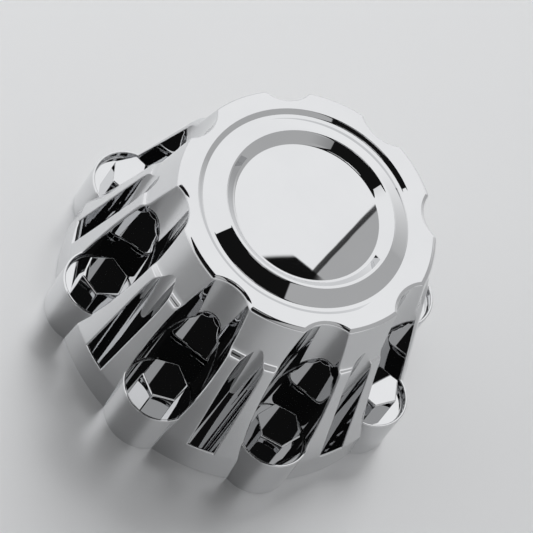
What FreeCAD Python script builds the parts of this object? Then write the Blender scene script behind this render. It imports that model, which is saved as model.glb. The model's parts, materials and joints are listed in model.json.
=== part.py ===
import FreeCAD, Part
import math
import os

# Tall closed center cap for an eight-lug hub, moulded in one piece and chrome plated.
# Millimetres. The hub's axis is +Z and the foot of the cap stands on Z = 0.
# One head lies on the +X axis, and every pattern is counted from there.

# Fit over the lugs
LUG_COUNT = 8
LUG_CIRCLE_DIAMETER = 165.1

# Moulded wall
WALL = 2.5

# Body, from the foot up to the rim: a taper is the radius that is lost over a height
BASE_RADIUS = 95.2
BASE_RING_HEIGHT = 19.0
BASE_RING_TAPER = 0.9
LAND_TAPER = 16.6
LEDGE_HEIGHT = 5.0
LEDGE_TAPER = 3.3
NECK_HEIGHT = 24.0
NECK_TAPER = 4.8
RIM_HEIGHT = 117.0
RIM_CHAMFER = 1.6

# Top, from the rim in to the plain disc
RIM_WIDTH = 11.0
GROOVE_SIDE_WIDTH = 2.2
GROOVE_FLOOR_WIDTH = 2.2
GROOVE_DEPTH = 1.2
RING_OUTER_SIDE_WIDTH = 8.2
RING_CREST_WIDTH = 1.8
RING_INNER_SIDE_WIDTH = 4.3
RING_RISE = 3.0
DISC_DEPTH = 1.4

# Wells on the lug circle, with a boss around and a head in each
WELL_RADIUS = 18.3
WELL_FLOOR_HEIGHT = 27.0
BOSS_LIP_WIDTH = 1.4
BOSS_LIP_HEIGHT = 4.7
HEAD_ACROSS_FLATS = 21.3
HEAD_HEIGHT = 13.0

# Flutes between the wells: the run-out is how far a flute's back lies inside the top of the ledge
FLUTE_WIDTH = 14.2
FLUTE_RUN_OUT = 0.4

AXIS = FreeCAD.Vector(0, 0, 1)

LUG_RADIUS = LUG_CIRCLE_DIAMETER / 2
LUG_STEP = 360 / LUG_COUNT
FLUTE_OFFSET = LUG_STEP / 2

LAND_FOOT_RADIUS = BASE_RADIUS - BASE_RING_TAPER
LEDGE_FOOT_RADIUS = LAND_FOOT_RADIUS - LAND_TAPER
LEDGE_TOP_RADIUS = LEDGE_FOOT_RADIUS - LEDGE_TAPER
LEDGE_TOP_HEIGHT = RIM_HEIGHT - NECK_HEIGHT
LEDGE_FOOT_HEIGHT = LEDGE_TOP_HEIGHT - LEDGE_HEIGHT
RIM_RADIUS = LEDGE_TOP_RADIUS - NECK_TAPER
NECK_SLOPE = NECK_TAPER / NECK_HEIGHT

GROOVE_MOUTH_RADIUS = RIM_RADIUS - RIM_WIDTH
GROOVE_FLOOR_RADIUS = GROOVE_MOUTH_RADIUS - GROOVE_SIDE_WIDTH
RING_FOOT_RADIUS = GROOVE_FLOOR_RADIUS - GROOVE_FLOOR_WIDTH
RING_CREST_OUTER_RADIUS = RING_FOOT_RADIUS - RING_OUTER_SIDE_WIDTH
RING_CREST_INNER_RADIUS = RING_CREST_OUTER_RADIUS - RING_CREST_WIDTH
DISC_RADIUS = RING_CREST_INNER_RADIUS - RING_INNER_SIDE_WIDTH
GROOVE_HEIGHT = RIM_HEIGHT - GROOVE_DEPTH
RING_HEIGHT = RIM_HEIGHT + RING_RISE
DISC_HEIGHT = RIM_HEIGHT - DISC_DEPTH

UNDER_FLOOR_HEIGHT = WELL_FLOOR_HEIGHT - WALL
BOSS_RADIUS = WELL_RADIUS + BOSS_LIP_WIDTH
BOSS_HEIGHT = WELL_FLOOR_HEIGHT + BOSS_LIP_HEIGHT
HEAD_TOP_HEIGHT = WELL_FLOOR_HEIGHT + HEAD_HEIGHT
FLUTE_CENTRE_RADIUS = LEDGE_TOP_RADIUS - FLUTE_RUN_OUT + FLUTE_WIDTH / 2


def point(radius, height):
    """A point of the half section, which lies in the XZ plane."""
    return FreeCAD.Vector(radius, 0, height)


def moved_in(chain, distance):
    """A chain of (radius, height) corners, foot first, set in by a distance, from Z = 0 to the axis."""
    lines = []
    for (r0, z0), (r1, z1) in zip(chain, chain[1:]):
        length = math.hypot(r1 - r0, z1 - z0)
        normal = (-(z1 - z0) / length, (r1 - r0) / length)
        lines.append((r0 + normal[0] * distance, z0 + normal[1] * distance, r1 - r0, z1 - z0))
    foot = (0, 0, 1, 0)
    axis = (0, 0, 0, 1)
    inner = []
    for (ax, ay, adx, ady), (bx, by, bdx, bdy) in zip([foot] + lines, lines + [axis]):
        along = ((bx - ax) * bdy - (by - ay) * bdx) / (adx * bdy - ady * bdx)
        inner.append((ax + adx * along, ay + ady * along))
    return inner


def revolved(chain):
    """The solid of revolution of a chain of (radius, height) corners that runs from Z = 0 to the axis."""
    corners = [point(radius, height) for radius, height in [(0, 0)] + chain + [(0, 0)]]
    return Part.Face(Part.makePolygon(corners)).revolve(point(0, 0), AXIS, 360)


def around(shape, offset_angle=0):
    """Copies of a shape on the +X side, one for each lug, turned by an offset angle."""
    copies = []
    for index in range(LUG_COUNT):
        copy = shape.copy()
        copy.rotate(point(0, 0), AXIS, index * LUG_STEP + offset_angle)
        copies.append(copy)
    return copies


def post(radius, foot_height, top_height):
    """A round post on the lug circle."""
    return Part.makeCylinder(radius, top_height - foot_height, point(LUG_RADIUS, foot_height))


def well(growth, floor_height):
    """The round space of one well, from its floor to above the top, with a flared mouth at the rim."""
    radius = WELL_RADIUS + growth
    flare_foot = RIM_HEIGHT - RIM_CHAMFER
    flare_height = RING_HEIGHT - flare_foot
    flare = Part.makeCone(radius, radius + flare_height, flare_height, point(LUG_RADIUS, flare_foot))
    return post(radius, floor_height, flare_foot).fuse(flare)


def flute(growth, floor_height):
    """The round-backed slot of one flute, open to the outside and upwards."""
    half_width = FLUTE_WIDTH / 2 + growth
    height = RIM_HEIGHT - floor_height
    back = Part.makeCylinder(half_width, height, point(FLUTE_CENTRE_RADIUS, floor_height))
    corner = FreeCAD.Vector(FLUTE_CENTRE_RADIUS, -half_width, floor_height)
    sides = Part.makeBox(BASE_RADIUS, 2 * half_width, height, corner)
    return back.fuse(sides).removeSplitter()


def head(across_flats, foot_height, top_height):
    """A hexagon prism on the lug circle with a corner pointing straight out."""
    corner_radius = across_flats / math.sqrt(3)
    corners = []
    for index in range(7):
        angle = math.radians(60 * index)
        x = LUG_RADIUS + corner_radius * math.cos(angle)
        y = corner_radius * math.sin(angle)
        corners.append(FreeCAD.Vector(x, y, foot_height))
    outline = Part.Face(Part.makePolygon(corners))
    return outline.extrude(AXIS * (top_height - foot_height))


def outer_form():
    """The cap as a full body: its outside is finished, and it is not yet hollow."""
    skin = [
        (BASE_RADIUS, 0),
        (LAND_FOOT_RADIUS, BASE_RING_HEIGHT),
        (LEDGE_FOOT_RADIUS, LEDGE_FOOT_HEIGHT),
        (LEDGE_TOP_RADIUS, LEDGE_TOP_HEIGHT),
        (RIM_RADIUS + RIM_CHAMFER * NECK_SLOPE, RIM_HEIGHT - RIM_CHAMFER),
        (RIM_RADIUS - RIM_CHAMFER, RIM_HEIGHT),
        (GROOVE_MOUTH_RADIUS, RIM_HEIGHT),
        (GROOVE_FLOOR_RADIUS, GROOVE_HEIGHT),
        (RING_FOOT_RADIUS, GROOVE_HEIGHT),
        (RING_CREST_OUTER_RADIUS, RING_HEIGHT),
        (RING_CREST_INNER_RADIUS, RING_HEIGHT),
        (DISC_RADIUS, DISC_HEIGHT),
        (0, DISC_HEIGHT),
    ]
    form = revolved(skin).fuse(around(post(BOSS_RADIUS, 0, BOSS_HEIGHT)))
    form = form.cut(around(well(0, WELL_FLOOR_HEIGHT)))
    form = form.cut(around(flute(0, BASE_RING_HEIGHT), FLUTE_OFFSET))
    return form.fuse(around(head(HEAD_ACROSS_FLATS, UNDER_FLOOR_HEIGHT, HEAD_TOP_HEIGHT)))


def hollow():
    """The space inside the cap: the body set in by the wall, a socket in each boss, room in each head."""
    outside = [
        (BASE_RADIUS, 0),
        (LAND_FOOT_RADIUS, BASE_RING_HEIGHT),
        (LEDGE_TOP_RADIUS, LEDGE_TOP_HEIGHT),
        (RIM_RADIUS + (RIM_HEIGHT - DISC_HEIGHT) * NECK_SLOPE, DISC_HEIGHT),
        (0, DISC_HEIGHT),
    ]
    room = revolved(moved_in(outside, WALL)).cut(around(well(WALL, 0)))
    room = room.cut(around(flute(WALL, BASE_RING_HEIGHT - WALL), FLUTE_OFFSET))
    room = room.fuse(around(post(BOSS_RADIUS - WALL, 0, UNDER_FLOOR_HEIGHT)))
    return room.fuse(around(head(HEAD_ACROSS_FLATS - 2 * WALL, UNDER_FLOOR_HEIGHT, HEAD_TOP_HEIGHT - WALL)))


def center_cap():
    return outer_form().cut(hollow()).removeSplitter()


os.makedirs("parts", exist_ok=True)
center_cap().exportStep("parts/center_cap.step")
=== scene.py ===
import cmath
import json
import math

import bpy
from mathutils import Matrix, Vector


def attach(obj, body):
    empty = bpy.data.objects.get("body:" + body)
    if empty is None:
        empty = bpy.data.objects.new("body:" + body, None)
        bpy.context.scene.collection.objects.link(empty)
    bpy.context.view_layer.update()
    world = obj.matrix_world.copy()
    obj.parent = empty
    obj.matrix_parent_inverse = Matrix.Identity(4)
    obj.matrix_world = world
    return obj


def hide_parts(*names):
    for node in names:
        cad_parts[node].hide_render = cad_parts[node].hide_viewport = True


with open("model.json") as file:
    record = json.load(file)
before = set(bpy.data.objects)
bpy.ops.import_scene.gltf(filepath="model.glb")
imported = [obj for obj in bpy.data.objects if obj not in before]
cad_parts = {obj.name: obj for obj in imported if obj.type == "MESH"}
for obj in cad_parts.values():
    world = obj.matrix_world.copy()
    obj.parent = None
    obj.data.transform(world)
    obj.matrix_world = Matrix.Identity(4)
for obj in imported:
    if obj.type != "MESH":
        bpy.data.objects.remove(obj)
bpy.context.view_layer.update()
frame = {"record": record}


# Tapered body of the cap, one moulding with the rest: eight lands stand between open round wells,
# and a round-backed flute is sunk into each land. A small step runs round under the rim.
# Millimetres until the mesh is made. Half a lug's share is drawn, and the rest are its copies.
nut_sockets = next(mount["dims"] for mount in frame["record"]["mounts"] if mount["name"] == "nut_sockets")
LUG_COUNT = nut_sockets["count"]
LUG_RADIUS = nut_sockets["pcd_mm"] / 2
WELL_RADIUS = 18.3
FLUTE_HALF_WIDTH = 7.1
FLUTE_CENTRE = 81.1
FLUTE_ANGLE = math.pi / LUG_COUNT
FLUTE_EDGE = 0.8
FLUTE_FLOOR = 19.0
CORNER_AT_LIP = 0.85
CORNER_GROWTH = 0.0175
RIM_HEIGHT = 117.0
RIM_ROUNDING = 2.0
LIP_HEIGHT = 31.7
LIP_ROUNDING = 0.5
BOSS_RADIUS = 19.7
BODY_CORNERS = [
    (95.2, 0.0, 0.0),
    (94.3, FLUTE_FLOOR, 1.2),
    (78.54, 84.5, 8.5),
    (75.42, 87.9, 8.5),
    (69.6, RIM_HEIGHT, 0.0),
]
BODY_ARC_STEP = math.radians(0.25)
STEP_FOOT = 82.0
STEP_HEAD = 91.0
TIP_DISTANCES = (1.0, 0.6, 0.35, 0.18, 0.07)
LAND_ROWS = 14
STEP_ROWS = 20
TIP_ROWS = 3
NECK_ROWS = 5
RIM_ROWS = 8
WELL_COLUMNS = 16
LIP_COLUMNS = 3
LAND_COLUMNS = 8
EDGE_COLUMNS = 6
FLUTE_COLUMNS = 10

patches = []


def spread(first, last, count):
    """Evenly spaced values from first to last."""
    return [first + (last - first) * index / count for index in range(count + 1)]


def surface_point(place, height, facing, outwards, upwards):
    """A point over a place in plan, with a normal that has the given shares outwards and upwards."""
    normal = Vector((facing.real * outwards, facing.imag * outwards, upwards)).normalized()
    return (place.real, place.imag, height), normal


def patch(corners):
    """One face of the half share, as (point, normal) corners."""
    patches.append(corners)


def quilt(rows):
    """Faces between neighbouring rows of (point, normal) pairs, which have the same number of columns."""
    for lower, upper in zip(rows, rows[1:]):
        for column in range(len(lower) - 1):
            patch([lower[column], lower[column + 1], upper[column + 1], upper[column]])


def rounded(corners, arc_step):
    """A chain of (x, y, rounding) corners with an arc at each, as (place, direction of travel) pairs."""
    line = [(complex(*corners[0][:2]), None)]
    for before, corner, after in zip(corners, corners[1:], corners[2:]):
        here = complex(*corner[:2])
        arrive = here - complex(*before[:2])
        arrive /= abs(arrive)
        leave = complex(*after[:2]) - here
        leave /= abs(leave)
        bend = cmath.phase(leave / arrive)
        trim = corner[2] * math.tan(abs(bend) / 2)
        side = 1j if bend > 0 else -1j
        centre = here - arrive * trim + arrive * side * corner[2]
        for angle in spread(0, bend, max(2, round(abs(bend) / arc_step))):
            travel = arrive * cmath.rect(1, angle)
            line.append((centre - travel * side * corner[2], travel))
    line.append((complex(*corners[-1][:2]), None))
    line[0] = (line[0][0], line[1][1])
    line[-1] = (line[-1][0], line[-2][1])
    return line


body_line = rounded(BODY_CORNERS, BODY_ARC_STEP)


def body_at(height):
    """Radius of the body at a height, and how fast it changes going up."""
    for (low, low_travel), (high, high_travel) in zip(body_line, body_line[1:]):
        if height <= high.imag:
            share = (height - low.imag) / (high.imag - low.imag)
            travel = low_travel + (high_travel - low_travel) * share
            return low.real + (high.real - low.real) * share, travel.real / travel.imag
    return high.real, high_travel.real / high_travel.imag


def height_at(radius):
    """Height at which the body, which narrows all the way up, has a radius."""
    for (low, _), (high, _) in zip(body_line, body_line[1:]):
        if high.real <= radius:
            return low.imag + (high.imag - low.imag) * (radius - low.real) / (high.real - low.real)
    return RIM_HEIGHT


def well_corner(body, well, rounding):
    """Centre of the rounding between a well and the body, and its directions from the lug and the axis."""
    reach = body - rounding
    share = (reach**2 + LUG_RADIUS**2 - (well + rounding) ** 2) / (2 * reach * LUG_RADIUS)
    turn = math.acos(share)
    heart = cmath.rect(reach, turn)
    return heart, cmath.phase(heart - LUG_RADIUS), turn


def corner_shares():
    """Where the rounded edge of a well is divided: evenly on both sides of the flat top of its lip."""
    _, facing, turn = well_corner(body_at(LIP_HEIGHT)[0], WELL_RADIUS, CORNER_AT_LIP)
    whole = turn - facing + math.pi
    far = WELL_RADIUS + CORNER_AT_LIP
    marks = []
    for reach in (WELL_RADIUS + LIP_ROUNDING, BOSS_RADIUS - LIP_ROUNDING):
        bend = (far**2 + CORNER_AT_LIP**2 - reach**2) / (2 * far * CORNER_AT_LIP)
        marks.append(math.acos(bend) / whole)
    return spread(0, marks[0], LIP_COLUMNS) + spread(marks[1], 1, LIP_COLUMNS)


CORNER_SHARES = corner_shares()
EDGE_START = WELL_COLUMNS + len(CORNER_SHARES) - 1 + LAND_COLUMNS


def flute_side(body, half_width, rounding):
    """A flute's rounded edge and wall in plan, from the land to the middle of its back."""
    reach = body - rounding
    far = half_width + rounding
    along = math.sqrt(reach**2 - far**2)
    straight = max(along - FLUTE_CENTRE, 0)
    if straight:
        heart = complex(along, -far)
        stop = math.pi / 2
        first = -math.pi / 2
    else:
        share = (reach**2 + FLUTE_CENTRE**2 - far**2) / (2 * reach * FLUTE_CENTRE)
        heart = cmath.rect(reach, -math.acos(share))
        stop = cmath.phase(FLUTE_CENTRE - heart)
        first = cmath.phase(heart - FLUTE_CENTRE)
    run = []
    for angle in spread(cmath.phase(heart), stop, EDGE_COLUMNS):
        run.append((heart + cmath.rect(rounding, angle), cmath.rect(1, angle)))
    for distance in spread(0, straight + half_width * (first + math.pi), FLUTE_COLUMNS)[1:]:
        if distance < straight:
            run.append((complex(along - distance, -half_width), 1j))
        else:
            angle = first - (distance - straight) / half_width
            run.append((FLUTE_CENTRE + cmath.rect(half_width, angle), -cmath.rect(1, angle)))
    turned = cmath.rect(1, FLUTE_ANGLE)
    return [(place * turned, facing * turned) for place, facing in run]


def plan(body, growth, rounding, flute_growth, fluted):
    """Outline of the half share at one height, from the back of a well to the middle of a flute."""
    heart, facing, turn = well_corner(body, WELL_RADIUS + growth, rounding)
    outline = []
    for angle in spread(math.pi, facing, WELL_COLUMNS)[:-1]:
        outline.append((LUG_RADIUS + cmath.rect(WELL_RADIUS + growth, angle), -cmath.rect(1, angle)))
    for share in CORNER_SHARES[:-1]:
        angle = facing - math.pi + (turn - facing + math.pi) * share
        outline.append((heart + cmath.rect(rounding, angle), cmath.rect(1, angle)))
    land_end = cmath.rect(body, FLUTE_ANGLE)
    side = [(land_end, land_end / body)]
    if fluted:
        side = flute_side(body, FLUTE_HALF_WIDTH + flute_growth, max(FLUTE_EDGE - flute_growth, 0))
    for angle in spread(turn, cmath.phase(side[0][0]), LAND_COLUMNS)[:-1]:
        outline.append((cmath.rect(body, angle), cmath.rect(1, angle)))
    return outline + side


def skin_row(height, fluted, rim_angle=0.0):
    """One row of the outside, with its normals. A rim angle gives a row of the rounding under the top."""
    body, rate = body_at(height)
    inset = RIM_ROUNDING * (1 - math.cos(rim_angle))
    rise = math.cos(rim_angle)
    inset_rate = math.sin(rim_angle)
    rounding = CORNER_AT_LIP + CORNER_GROWTH * (height - LIP_HEIGHT)
    nudge = 0.001
    outlines = []
    for move in (0, nudge, -nudge):
        moved_inset = inset + inset_rate * move
        moved_rounding = rounding + CORNER_GROWTH * rise * move - moved_inset
        moved_body = body + rate * rise * move - moved_inset
        outlines.append(plan(moved_body, moved_inset, moved_rounding, 0, fluted))
    row = []
    for (place, facing), (after, _), (before, _) in zip(*outlines):
        drift = ((after - before) * facing.conjugate()).real / (2 * nudge)
        row.append(surface_point(place, height, facing, rise, -drift))
    return row


FLUTE_TIP = height_at(FLUTE_CENTRE - FLUTE_HALF_WIDTH)
fluted_heights = spread(LIP_HEIGHT, STEP_FOOT, LAND_ROWS)
fluted_heights += spread(STEP_FOOT, STEP_HEAD, STEP_ROWS)[1:]
fluted_heights += spread(STEP_HEAD, FLUTE_TIP - TIP_DISTANCES[0], TIP_ROWS)[1:-1]
fluted_heights += [FLUTE_TIP - distance for distance in TIP_DISTANCES]
upper_rows = [skin_row(height, True) for height in fluted_heights]
tip_row = skin_row(FLUTE_TIP, False)
quilt(upper_rows + [tip_row + tip_row[-1:] * (EDGE_COLUMNS + FLUTE_COLUMNS)])
neck_rows = [tip_row]
for height in spread(FLUTE_TIP, RIM_HEIGHT - RIM_ROUNDING, NECK_ROWS)[1:-1]:
    neck_rows.append(skin_row(height, False))
for angle in spread(0, math.pi / 2, RIM_ROWS):
    height = RIM_HEIGHT - RIM_ROUNDING + RIM_ROUNDING * math.sin(angle)
    neck_rows.append(skin_row(height, False, angle))
quilt(neck_rows)


# Top of the cap, part of the same moulding: the flat scalloped rim, a shallow groove, a raised ring
# with a narrow crest, and the plain disc inside it, which is a very low dome.
GROOVE_HEIGHT = 115.8
RING_HEIGHT = 120.0
DISC_HEIGHT = 115.6
TOP_CORNERS = [
    (62.0, RIM_HEIGHT, 0.0),
    (58.6, RIM_HEIGHT, 1.4),
    (56.4, GROOVE_HEIGHT, 1.4),
    (54.2, GROOVE_HEIGHT, 1.4),
    (46.0, RING_HEIGHT, 1.6),
    (44.2, RING_HEIGHT, 1.3),
    (39.9, DISC_HEIGHT, 2.6),
    (30.0, 116.0, 0.0),
]
TOP_ARC_STEP = math.radians(6)
DISC_SHARES = (0.85, 0.7, 0.55, 0.4, 0.25, 0.1, 0.0)
up = Vector((0, 0, 1))


def rise_of(lean):
    """The upward share of a normal with an outward share."""
    return math.sqrt(max(1 - lean**2, 0))


def in_plan(row):
    """The points of a row, seen from above."""
    return [complex(point[0], point[1]) for point, _ in row]


rim_row = [(point, up) for point, _ in neck_rows[-1]]
rays = [place / abs(place) for place in in_plan(rim_row)]


def top_row(radius, height, lean, rise):
    """One circle of the top, on the same rays as the rim, with normals that lean out by the given share."""
    return [surface_point(ray * radius, height, ray, lean, rise) for ray in rays]


top_line = rounded(TOP_CORNERS, TOP_ARC_STEP)[1:-1]
top_rows = [rim_row]
for place, travel in top_line:
    top_rows.append(top_row(place.real, place.imag, travel.imag, -travel.real))
disc_edge, edge_travel = top_line[-1]
dome_radius = disc_edge.real / edge_travel.imag
for share in DISC_SHARES:
    radius = disc_edge.real * share
    height = disc_edge.imag + (disc_edge.real**2 - radius**2) / (2 * dome_radius)
    lean = radius / dome_radius
    top_rows.append(top_row(radius, height, lean, rise_of(lean)))
quilt(top_rows)


# Bosses at the foot of the wells, moulded with the body: a round post with a thin lip around each well.
# The lip's edges run into the rounded edges of the well on both sides.
BOSS_COLUMNS = 16


def around_lug(radius, first, last, height, lean, upwards=1):
    """Points on a circle round the lug, with normals that lean up or down from the given outward share."""
    row = []
    for angle in spread(first, last, BOSS_COLUMNS):
        facing = cmath.rect(1, angle)
        row.append(surface_point(LUG_RADIUS + facing * radius, height, facing, lean, upwards * rise_of(lean)))
    return row


def from_lug(point):
    """A point in plan, seen from the lug."""
    return complex(point[0], point[1]) - LUG_RADIUS


def growing_quilt(rows):
    """Faces between rows that each have one column more at their end than the row before."""
    for lower, upper in zip(rows, rows[1:]):
        quilt([lower, upper[: len(lower)]])
        patch([lower[-1], upper[-1], upper[-2]])


def lip_edge(column, inside):
    """The body's row where a column of the well's edge crosses the lip's edge, and the lip's circle there."""
    reach = abs(from_lug(upper_rows[0][WELL_COLUMNS + column][0]))
    depth = reach - WELL_RADIUS if inside else BOSS_RADIUS - reach
    lean = max(1 - depth / LIP_ROUNDING, 0)
    height = LIP_HEIGHT - LIP_ROUNDING + LIP_ROUNDING * rise_of(lean)
    row = skin_row(height, True)
    meet = from_lug(row[WELL_COLUMNS + column][0])
    return row, around_lug(abs(meet), cmath.phase(meet), 0, height, -lean if inside else lean)


inner_wall = []
inner_lip = []
for column in range(LIP_COLUMNS + 1):
    row, circle = lip_edge(column, True)
    inner_wall.append(row[: WELL_COLUMNS + column + 1])
    inner_lip.append(circle)
quilt(inner_lip)
growing_quilt(inner_wall)

outer_rows = []
outer_lip = []
for column in range(len(CORNER_SHARES) - 1, LIP_COLUMNS, -1):
    row, circle = lip_edge(column, False)
    outer_rows.append(row[WELL_COLUMNS + column :])
    outer_lip.append(circle)
growing_quilt([row[::-1] for row in outer_rows])
quilt(outer_lip)
lip_inside = [(point, up) for point, _ in inner_lip[-1]]
lip_outside = [(point, up) for point, _ in outer_lip[-1]]
quilt([lip_inside, lip_outside])


# Foot of the cap: the low base ring under the lands and the flute floors, and the posts of the bosses.
# The floor of each flute has a rounded front edge that runs into the flute's own edges.
FOOT_ROUNDING = 0.6
FOOT_ROWS = 4
RING_COLUMNS = 8
RING_HEIGHTS = (4.5, 9.0, 13.5)
LOW_LAND_HEIGHTS = (19.12, 19.4, 22.0, 25.0, 28.0)


def flat(points, height, upwards):
    """One level face on plan points."""
    patch([surface_point(place, height, 0j, 0, upwards) for place in points])


def tucked_in(tuck):
    """How far the rounding of the bottom edge lies inside the wall, where it has turned by an angle."""
    return FOOT_ROUNDING * (1 - math.cos(tuck))


def boss_meets(height, tuck):
    """Angle at the axis where a boss runs into the body."""
    body = body_at(height)[0] - tucked_in(tuck)
    boss = BOSS_RADIUS - tucked_in(tuck)
    return math.acos((body**2 + LUG_RADIUS**2 - boss**2) / (2 * body * LUG_RADIUS))


def land_row(height, first, last, columns, tuck):
    """Points on the body between two angles, with their normals."""
    body, rate = body_at(height)
    body -= tucked_in(tuck)
    rise = -rate * math.cos(tuck) - math.sin(tuck)
    row = []
    for angle in spread(first, last, columns):
        facing = cmath.rect(1, angle)
        row.append(surface_point(facing * body, height, facing, math.cos(tuck), rise))
    return row


def edge_angle(height):
    """Angle at the axis where a land ends at its flute."""
    return cmath.phase(flute_side(body_at(height)[0], FLUTE_HALF_WIDTH, FLUTE_EDGE)[0][0])


def boss_row(height, tuck):
    """Points on a boss from where it meets the body to its front."""
    body = body_at(height)[0] - tucked_in(tuck)
    meet = cmath.rect(body, boss_meets(height, tuck)) - LUG_RADIUS
    return around_lug(BOSS_RADIUS - tucked_in(tuck), cmath.phase(meet), 0, height, math.cos(tuck), -1)


front_body = body_at(FLUTE_FLOOR)[0]
front_side = flute_side(front_body, FLUTE_HALF_WIDTH, FLUTE_EDGE)
front_rounding = front_body - abs(front_side[EDGE_COLUMNS][0])
front_heights = []
front_leans = []
for place, _ in front_side[: EDGE_COLUMNS + 1]:
    lean = 1 - (front_body - abs(place)) / front_rounding
    front_leans.append(lean)
    front_heights.append(FLUTE_FLOOR - front_rounding + front_rounding * rise_of(lean))

base_levels = [(FOOT_ROUNDING * (1 - math.sin(tuck)), tuck) for tuck in spread(math.pi / 2, 0, FOOT_ROWS)]
base_levels += [(height, 0.0) for height in (*RING_HEIGHTS, front_heights[0])]
low_heights = [*LOW_LAND_HEIGHTS, LIP_HEIGHT - LIP_ROUNDING]
shoulder_levels = [(height, 0.0) for height in front_heights[1:] + low_heights]
ring_rows = []
for height, tuck in base_levels:
    ring_rows.append(land_row(height, edge_angle(height), FLUTE_ANGLE, RING_COLUMNS, tuck))
quilt(ring_rows)
foot_lands = []
boss_rows = []
for height, tuck in base_levels + shoulder_levels:
    foot_lands.append(land_row(height, boss_meets(height, tuck), edge_angle(height), LAND_COLUMNS, tuck))
    boss_rows.append(boss_row(height, tuck))
quilt(foot_lands + [outer_rows[0][: LAND_COLUMNS + 1]])
quilt(boss_rows + [outer_lip[0]])

front_rows = []
edge_rows = []
for column, (height, lean) in enumerate(zip(front_heights, front_leans)):
    side = skin_row(height, True)[EDGE_START:]
    meet = in_plan(side)[column]
    row = []
    for angle in spread(cmath.phase(meet), FLUTE_ANGLE, RING_COLUMNS):
        facing = cmath.rect(1, angle)
        row.append(surface_point(facing * abs(meet), height, facing, lean, rise_of(lean)))
    front_rows.append(row)
    edge_rows.append(side[: column + 1])
quilt(front_rows)
growing_quilt(edge_rows)
flute_rows = [skin_row(height, True)[EDGE_START:] for height in [FLUTE_FLOOR] + low_heights]
quilt(flute_rows + [outer_rows[0][LAND_COLUMNS:]])
floor_back = in_plan(flute_rows[0][EDGE_COLUMNS:])
flat(in_plan(front_rows[-1]) + floor_back[:0:-1], FLUTE_FLOOR, 1)


# Floor of each well with its hexagon head, moulded with the rest. A fillet runs round the floor.
# One corner of each head points straight out, and its edges and corners are rounded.
WELL_FLOOR = 27.0
WELL_MIDDLE = 29.4
FLOOR_FILLET = 0.8
FILLET_ROWS = 5
HEAD_TOP = 40.0
HEAD_HALF_FLATS = 10.65
HEAD_CORNER = 0.8
HEAD_ROUNDING = 0.7
HEAD_CORNER_COLUMNS = 5
HEAD_EDGE_ROWS = 6
HEAD_STEP = math.pi / 3


def head_corner(half_flats, index):
    """A sharp corner of a hexagon round the lug in plan, counted from the one that points straight out."""
    return LUG_RADIUS + cmath.rect(half_flats / math.cos(HEAD_STEP / 2), index * HEAD_STEP)


def hexagon(inset):
    """Half a hexagon with rounded corners in plan, from its outer corner to its inner one."""
    outline = []
    for index in range(4):
        heart = head_corner(HEAD_HALF_FLATS - HEAD_CORNER, index)
        first = max((index - 0.5) * HEAD_STEP, 0)
        last = min((index + 0.5) * HEAD_STEP, math.pi)
        for angle in spread(first, last, HEAD_CORNER_COLUMNS):
            outline.append((heart + cmath.rect(HEAD_CORNER - inset, angle), cmath.rect(1, angle)))
    return outline


wall_start = cmath.phase(from_lug(inner_wall[0][-1][0]))
wall_heights = [LIP_HEIGHT - LIP_ROUNDING, WELL_MIDDLE, WELL_FLOOR + FLOOR_FILLET]
front_wall = [around_lug(WELL_RADIUS, wall_start, 0, height, -1) for height in wall_heights]
back_wall = []
for height in wall_heights:
    back_wall.append([((point[0], point[1], height), normal) for point, normal in inner_wall[0]])
for angle in spread(0, math.pi / 2, FILLET_ROWS)[1:]:
    height = WELL_FLOOR + FLOOR_FILLET * (1 - math.sin(angle))
    radius = WELL_RADIUS - FLOOR_FILLET * (1 - math.cos(angle))
    lean = math.cos(angle)
    front_wall.append(around_lug(radius, wall_start, 0, height, -lean))
    row = []
    for point, normal in inner_wall[0]:
        spot = LUG_RADIUS + from_lug(point) * radius / WELL_RADIUS
        row.append(((spot.real, spot.imag, height), (normal * lean + up * math.sin(angle)).normalized()))
    back_wall.append(row)
quilt(front_wall)
quilt(back_wall)
head_foot = [surface_point(place, WELL_FLOOR, facing, 1, 0) for place, facing in hexagon(0)]
flat(in_plan(back_wall[-1] + front_wall[-1][1:] + head_foot), WELL_FLOOR, 1)

head_rows = [head_foot]
for angle in spread(0, math.pi / 2, HEAD_EDGE_ROWS):
    height = HEAD_TOP - HEAD_ROUNDING + HEAD_ROUNDING * math.sin(angle)
    row = []
    for place, facing in hexagon(HEAD_ROUNDING * (1 - math.cos(angle))):
        row.append(surface_point(place, height, facing, math.cos(angle), math.sin(angle)))
    head_rows.append(row)
quilt(head_rows)
flat(in_plan(head_rows[-1]), HEAD_TOP, 1)


# Inside of the cap, out of sight in use: an even wall behind the skin, a round socket in each boss,
# room in each head, and the flat foot. The wall follows the body's straight tapers, without the step.
WALL = 2.5
CEILING = DISC_HEIGHT - WALL
ROOM_NECK = complex(71.955, 92.252)
ROOM_CORNERS = [complex(92.697, 0.0), complex(91.828, 18.351), ROOM_NECK, complex(67.83, CEILING)]
SOCKET_RADIUS = nut_sockets["hole_r_mm"]
SOCKET_TOP = WELL_FLOOR - WALL
HEAD_ROOM_TOP = HEAD_TOP - WALL
UNDER_FLUTE = FLUTE_FLOOR - WALL
ROOM_FOOT_MIDDLE = 8.0
ROOM_TIP_HEIGHTS = [93.4, 94.1, 94.5]
ROOM_HEAD_MIDDLE = 103.0
ROOM_ROWS = 12
ON_BODY_REACH = 0.001


def room_at(height):
    """Radius of the room inside at a height, and how fast it changes going up."""
    for low, high in zip(ROOM_CORNERS, ROOM_CORNERS[1:]):
        rate = (high.real - low.real) / (high.imag - low.imag)
        if height <= high.imag:
            break
    return low.real + rate * (height - low.imag), rate


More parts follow.
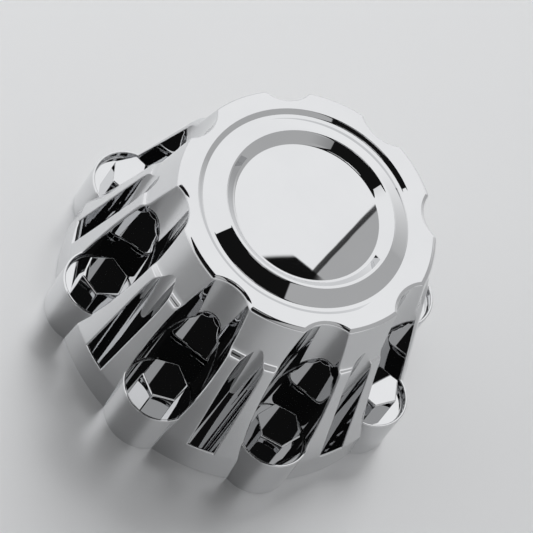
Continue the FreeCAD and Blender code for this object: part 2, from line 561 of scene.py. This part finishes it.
def room_facing(outline, height):
    """An outline of the room at a height, as points with normals that face the room."""
    radius, rate = room_at(height)
    row = []
    for column, (place, facing) in enumerate(outline):
        on_body = column > WELL_COLUMNS and abs(abs(place) - radius) < ON_BODY_REACH
        row.append(surface_point(place, height, -facing, 1, rate if on_body else 0))
    return row


def room_row(height, fluted):
    """One row of the inside with flutes, or above them."""
    return room_facing(plan(room_at(height)[0], WALL, 0.0, WALL, fluted), height)


def room_foot_row(height):
    """One row of the inside below the flutes, where it runs on to the middle of a flute."""
    radius = room_at(height)[0]
    outline = plan(radius, WALL, 0.0, WALL, True)
    land_end = cmath.phase(outline[EDGE_START][0])
    outline = outline[:EDGE_START]
    for angle in spread(land_end, FLUTE_ANGLE, RING_COLUMNS):
        outline.append((cmath.rect(radius, angle), cmath.rect(1, angle)))
    return room_facing(outline, height)


neck_rate = room_at(CEILING)[1]
room_tip = ROOM_NECK.imag + (FLUTE_CENTRE - FLUTE_HALF_WIDTH - WALL - ROOM_NECK.real) / neck_rate
room_foot = [room_foot_row(height) for height in (0.0, ROOM_FOOT_MIDDLE, UNDER_FLUTE)]
quilt(room_foot)
room_heights = [UNDER_FLUTE] + spread(ROOM_CORNERS[1].imag, ROOM_NECK.imag, ROOM_ROWS) + ROOM_TIP_HEIGHTS
room_rows = [room_row(height, True) for height in room_heights]
room_head = [room_row(height, False) for height in (room_tip, ROOM_HEAD_MIDDLE, CEILING)]
quilt(room_rows + [room_head[0] + room_head[0][-1:] * (EDGE_COLUMNS + FLUTE_COLUMNS)])
quilt(room_head)
flat([0j] + in_plan(room_head[-1]), CEILING, -1)
flute_under = in_plan(room_rows[0][EDGE_START:])
flat(in_plan(room_foot[-1][EDGE_START:]) + flute_under[:0:-1], UNDER_FLUTE, -1)

socket_rows = [around_lug(SOCKET_RADIUS, math.pi, 0, height, -1) for height in (0.0, SOCKET_TOP)]
quilt(socket_rows)
head_room = [head_corner(HEAD_HALF_FLATS - WALL, index) for index in range(4)]
flat(in_plan(socket_rows[-1]) + head_room, SOCKET_TOP, -1)
flat(head_room, HEAD_ROOM_TOP, -1)
for index in range(3):
    facing = -cmath.rect(1, (index + 0.5) * HEAD_STEP)
    wall_ends = head_room[index : index + 2]
    wall_rows = []
    for height in (SOCKET_TOP, HEAD_ROOM_TOP):
        wall_rows.append([surface_point(place, height, facing, 1, 0) for place in wall_ends])
    quilt(wall_rows)
foot = []
for row in (boss_rows[0][::-1], foot_lands[0][1:], ring_rows[0][1:], room_foot[0][::-1], socket_rows[0]):
    foot += in_plan(row)
flat(foot, 0.0, -1)


# The whole cap as one piece: each face of the half share is mirrored and turned to all eight lugs.
# Points that fall together become one, and every corner keeps the normal of the true surface.
FULL_TURN = 2 * math.pi
TURN_UNITS = 7_200_000
UNITS_IN_A_MILLIMETRE = 2000
ON_AXIS_REACH = 0.0005
MILLIMETRES_IN_A_METRE = 1000
vertices = []
vertex_of = {}
faces = []
face_normals = []


def vertex_at(point, mirrored, lug):
    """Index of the vertex for a copied point: it is found by its radius, angle and height."""
    radius = math.hypot(point[0], point[1])
    angle = 0
    if radius > ON_AXIS_REACH:
        angle = round(math.atan2(point[1], point[0]) / FULL_TURN * TURN_UNITS)
        angle = (-angle if mirrored else angle) + lug * TURN_UNITS // LUG_COUNT
    key = (round(radius * UNITS_IN_A_MILLIMETRE), angle % TURN_UNITS, round(point[2] * UNITS_IN_A_MILLIMETRE))
    if key not in vertex_of:
        vertex_of[key] = len(vertices)
        place = cmath.rect(radius, angle / TURN_UNITS * FULL_TURN)
        lengths = (place.real, place.imag, point[2])
        vertices.append(tuple(length / MILLIMETRES_IN_A_METRE for length in lengths))
    return vertex_of[key]


def faces_out(corners):
    """Whether the corners run anticlockwise, seen from outside."""
    area = Vector((0, 0, 0))
    for (here, _), (there, _) in zip(corners, corners[1:] + corners[:1]):
        area += Vector(here).cross(Vector(there))
    return area.dot(sum((normal for _, normal in corners), Vector((0, 0, 0)))) > 0


for corners in patches:
    ordered = corners if faces_out(corners) else corners[::-1]
    for lug in range(LUG_COUNT):
        swing = cmath.rect(1, lug * FULL_TURN / LUG_COUNT)
        for mirrored in (False, True):
            loop = []
            normals = []
            for point, normal in ordered[::-1] if mirrored else ordered:
                index = vertex_at(point, mirrored, lug)
                if index in loop:
                    continue
                level = complex(normal[0], -normal[1] if mirrored else normal[1]) * swing
                loop.append(index)
                normals.append((level.real, level.imag, normal[2]))
            if len(loop) > 2:
                faces.append(loop)
                face_normals += normals

cap_mesh = bpy.data.meshes.new("center_cap_moulding")
cap_mesh.from_pydata(vertices, [], faces)
cap_mesh.shade_smooth()
cap_mesh.normals_split_custom_set(face_normals)
cap = bpy.data.objects.new("center_cap_moulding", cap_mesh)
bpy.context.scene.collection.objects.link(cap)
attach(cap, "root")
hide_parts("center_cap")


# Chrome plating over the whole moulding: bright and mirror smooth, with the faint waves of a moulded
# surface under it and a little haze from wiping.
chrome = bpy.data.materials.new("chrome_plating")
chrome.use_nodes = True
nodes = chrome.node_tree.nodes
links = chrome.node_tree.links
plating = nodes["Principled BSDF"]
plating.inputs["Metallic"].default_value = 1.0
surface = nodes.new("ShaderNodeTexCoord")
haze = nodes.new("ShaderNodeTexNoise")
haze.inputs["Scale"].default_value = 38.0
haze.inputs["Detail"].default_value = 4.0
links.new(surface.outputs["Object"], haze.inputs["Vector"])
gloss = nodes.new("ShaderNodeMapRange")
gloss.inputs["From Min"].default_value = 0.3
gloss.inputs["From Max"].default_value = 0.75
gloss.inputs["To Min"].default_value = 0.006
gloss.inputs["To Max"].default_value = 0.02
links.new(haze.outputs["Fac"], gloss.inputs["Value"])
links.new(gloss.outputs["Result"], plating.inputs["Roughness"])
tint = nodes.new("ShaderNodeMix")
tint.data_type = "RGBA"
tint.inputs["A"].default_value = (0.66, 0.665, 0.675, 1)
tint.inputs["B"].default_value = (0.71, 0.714, 0.72, 1)
links.new(haze.outputs["Fac"], tint.inputs["Factor"])
links.new(tint.outputs["Result"], plating.inputs["Base Color"])
wave = nodes.new("ShaderNodeTexNoise")
wave.inputs["Scale"].default_value = 55.0
wave.inputs["Detail"].default_value = 1.0
links.new(surface.outputs["Object"], wave.inputs["Vector"])
ripple = nodes.new("ShaderNodeBump")
ripple.inputs["Strength"].default_value = 0.006
ripple.inputs["Distance"].default_value = 0.001
links.new(wave.outputs["Fac"], ripple.inputs["Height"])
links.new(ripple.outputs["Normal"], plating.inputs["Normal"])
cap_mesh.materials.append(chrome)


# Pale studio floor under the cap: a wide round sheet with a soft sheen and a faint grain.
# It is no part of the object.
bpy.ops.mesh.primitive_circle_add(vertices=96, radius=6.0, fill_type="NGON", location=(0, 0, 0))
floor = bpy.context.object
floor.name = "studio_floor"
sheet = bpy.data.materials.new("pale_floor")
sheet.use_nodes = True
sheen = sheet.node_tree.nodes["Principled BSDF"]
sheen.inputs["Roughness"].default_value = 0.28
sheen.inputs["Metallic"].default_value = 0.5
grain = sheet.node_tree.nodes.new("ShaderNodeTexNoise")
grain.inputs["Scale"].default_value = 3.0
pale = sheet.node_tree.nodes.new("ShaderNodeMix")
pale.data_type = "RGBA"
pale.inputs["A"].default_value = (0.83, 0.835, 0.84, 1)
pale.inputs["B"].default_value = (0.86, 0.865, 0.87, 1)
sheet.node_tree.links.new(grain.outputs["Fac"], pale.inputs["Factor"])
sheet.node_tree.links.new(pale.outputs["Result"], sheen.inputs["Base Color"])
floor.data.materials.append(sheet)


# Soft studio light: a pale tent, brighter on the left than on the right, with a bright hem, a thin seam and
# a dark gap on the camera's side that opens downwards. The camera itself sees only a plain pale backdrop.
# A lamp adds soft light from above and behind, which the chrome does not mirror.
LEFT_CLOTH = 1.1
RIGHT_CLOTH = 0.52
SEAM_SHADE = 0.08
GAP_SHADE = 0.008
SEAM_EDGES = [((1, 0, 0.0034), 0.0012), ((-1, 0, 0.0034), 0.0012)]
GAP_EDGES = [
    ((0.7995, -0.4966, 0.3371), 0.004),
    ((-0.9208, -0.3255, 0.2149), 0.012),
    ((0.048, -0.846, 0.533), 0.0018),
]
TENT_COLOUR = {"Red": 1.0, "Green": 1.004, "Blue": 1.012}
LAMP_DIRECTION = Vector((0.24, -0.76, -0.6))
studio = bpy.data.worlds.new("studio")
studio.use_nodes = True
bpy.context.scene.world = studio
tent = studio.node_tree
direction = tent.nodes.new("ShaderNodeTexCoord").outputs["Generated"]
axes = tent.nodes.new("ShaderNodeSeparateXYZ")
tent.links.new(direction, axes.inputs["Vector"])
across = axes.outputs["X"]
backwards = axes.outputs["Y"]
upwards = axes.outputs["Z"]


def feed(socket, source):
    """Sets a socket to a number, or links it to another socket."""
    if isinstance(source, (int, float)):
        socket.default_value = source
    else:
        tent.links.new(source, socket)


def tent_ramp(value, first, last, low, high):
    """A smooth change from low to high while a value goes from first to last. Each may be a socket."""
    ramp = tent.nodes.new("ShaderNodeMapRange")
    ramp.interpolation_type = "SMOOTHSTEP"
    feed(ramp.inputs["Value"], value)
    feed(ramp.inputs["From Min"], first)
    feed(ramp.inputs["From Max"], last)
    feed(ramp.inputs["To Min"], low)
    feed(ramp.inputs["To Max"], high)
    return ramp.outputs["Result"]


def tent_product(first, *others):
    """The product of several values. Each may be a socket."""
    product = first
    for factor in others:
        multiply = tent.nodes.new("ShaderNodeMath")
        multiply.operation = "MULTIPLY"
        feed(multiply.inputs[0], product)
        feed(multiply.inputs[1], factor)
        product = multiply.outputs["Value"]
    return product


def past_edges(edges):
    """How far a direction lies past all of some straight edges of the cloth, given as (normal, softness)."""
    shares = []
    for normal, softness in edges:
        distance = tent.nodes.new("ShaderNodeVectorMath")
        distance.operation = "DOT_PRODUCT"
        distance.inputs[1].default_value = normal
        tent.links.new(direction, distance.inputs[0])
        shares.append(tent_ramp(distance.outputs["Value"], -softness, softness, 0.0, 1.0))
    return tent_product(*shares)


fold_width = tent_ramp(backwards, 0.65, 0.78, 0.004, 0.66)
side_cloth = tent_ramp(across, -0.004, fold_width, LEFT_CLOTH, RIGHT_CLOTH)
plain_cloth = tent_product(side_cloth, tent_ramp(backwards, -0.95, -0.45, 0.4, 1.0))
hem = tent_product(tent_ramp(upwards, 0.09, 0.16, 1.0, 0.0), tent_ramp(backwards, -0.1, 0.3, 1.0, 0.0))
hemmed_cloth = tent_ramp(hem, 0.0, 1.0, plain_cloth, LEFT_CLOTH)
seam = tent_product(past_edges(SEAM_EDGES), tent_ramp(backwards, 0.62, 0.7, 1.0, 0.0))
sewn_cloth = tent_product(hemmed_cloth, tent_ramp(seam, 0.0, 1.0, 1.0, SEAM_SHADE))
gap_foot = tent_ramp(upwards, 0.36, 0.43, 0.0, 1.0)
gap_head = tent_ramp(upwards, 0.9865, 0.9895, 1.0, 0.0)
gap = tent_product(past_edges(GAP_EDGES), gap_foot, gap_head)
brightness = tent_ramp(gap, 0.0, 1.0, sewn_cloth, GAP_SHADE)
shades = tent.nodes.new("ShaderNodeCombineColor")
for name, share in TENT_COLOUR.items():
    tent.links.new(tent_product(brightness, share), shades.inputs[name])
tent_light = tent.nodes["Background"]
tent.links.new(shades.outputs["Color"], tent_light.inputs["Color"])
backdrop = tent.nodes.new("ShaderNodeBackground")
backdrop.inputs["Color"].default_value = (0.74, 0.745, 0.75, 1)
seen = tent.nodes.new("ShaderNodeLightPath")
choice = tent.nodes.new("ShaderNodeMixShader")
tent.links.new(seen.outputs["Is Camera Ray"], choice.inputs["Fac"])
tent.links.new(tent_light.outputs["Background"], choice.inputs[1])
tent.links.new(backdrop.outputs["Background"], choice.inputs[2])
tent.links.new(choice.outputs["Shader"], tent.nodes["World Output"].inputs["Surface"])

key_lamp = bpy.data.lights.new("key_lamp", "SUN")
key_lamp.energy = 1.2
key_lamp.angle = math.radians(22)
key_light = bpy.data.objects.new("key_lamp", key_lamp)
key_light.rotation_euler = LAMP_DIRECTION.to_track_quat("-Z", "Y").to_euler()
key_light.visible_glossy = False
bpy.context.scene.collection.objects.link(key_light)


# Camera at the photograph's angle: far off, high, and rolled so that the cap leans to the right.
EYE = Vector((0.15944, -1.98940, 2.89627))
TARGET = Vector((0, 0, 0.056))
ROLL = math.asin(0.6)
forward = (TARGET - EYE).normalized()
upright = (up - forward * forward.z).normalized()
sideways = forward.cross(upright)
lens_right = upright * math.sin(ROLL) + sideways * math.cos(ROLL)
lens_up = upright * math.cos(ROLL) - sideways * math.sin(ROLL)
view = bpy.data.cameras.new("photo_view")
view.angle = math.radians(4.5)
view.clip_end = 50.0
camera = bpy.data.objects.new("photo_view", view)
camera.matrix_world = Matrix((
    (lens_right.x, lens_up.x, -forward.x, EYE.x),
    (lens_right.y, lens_up.y, -forward.y, EYE.y),
    (lens_right.z, lens_up.z, -forward.z, EYE.z),
    (0, 0, 0, 1),
))
bpy.context.scene.collection.objects.link(camera)
bpy.context.scene.camera = camera
bpy.context.scene.view_settings.view_transform = "Standard"
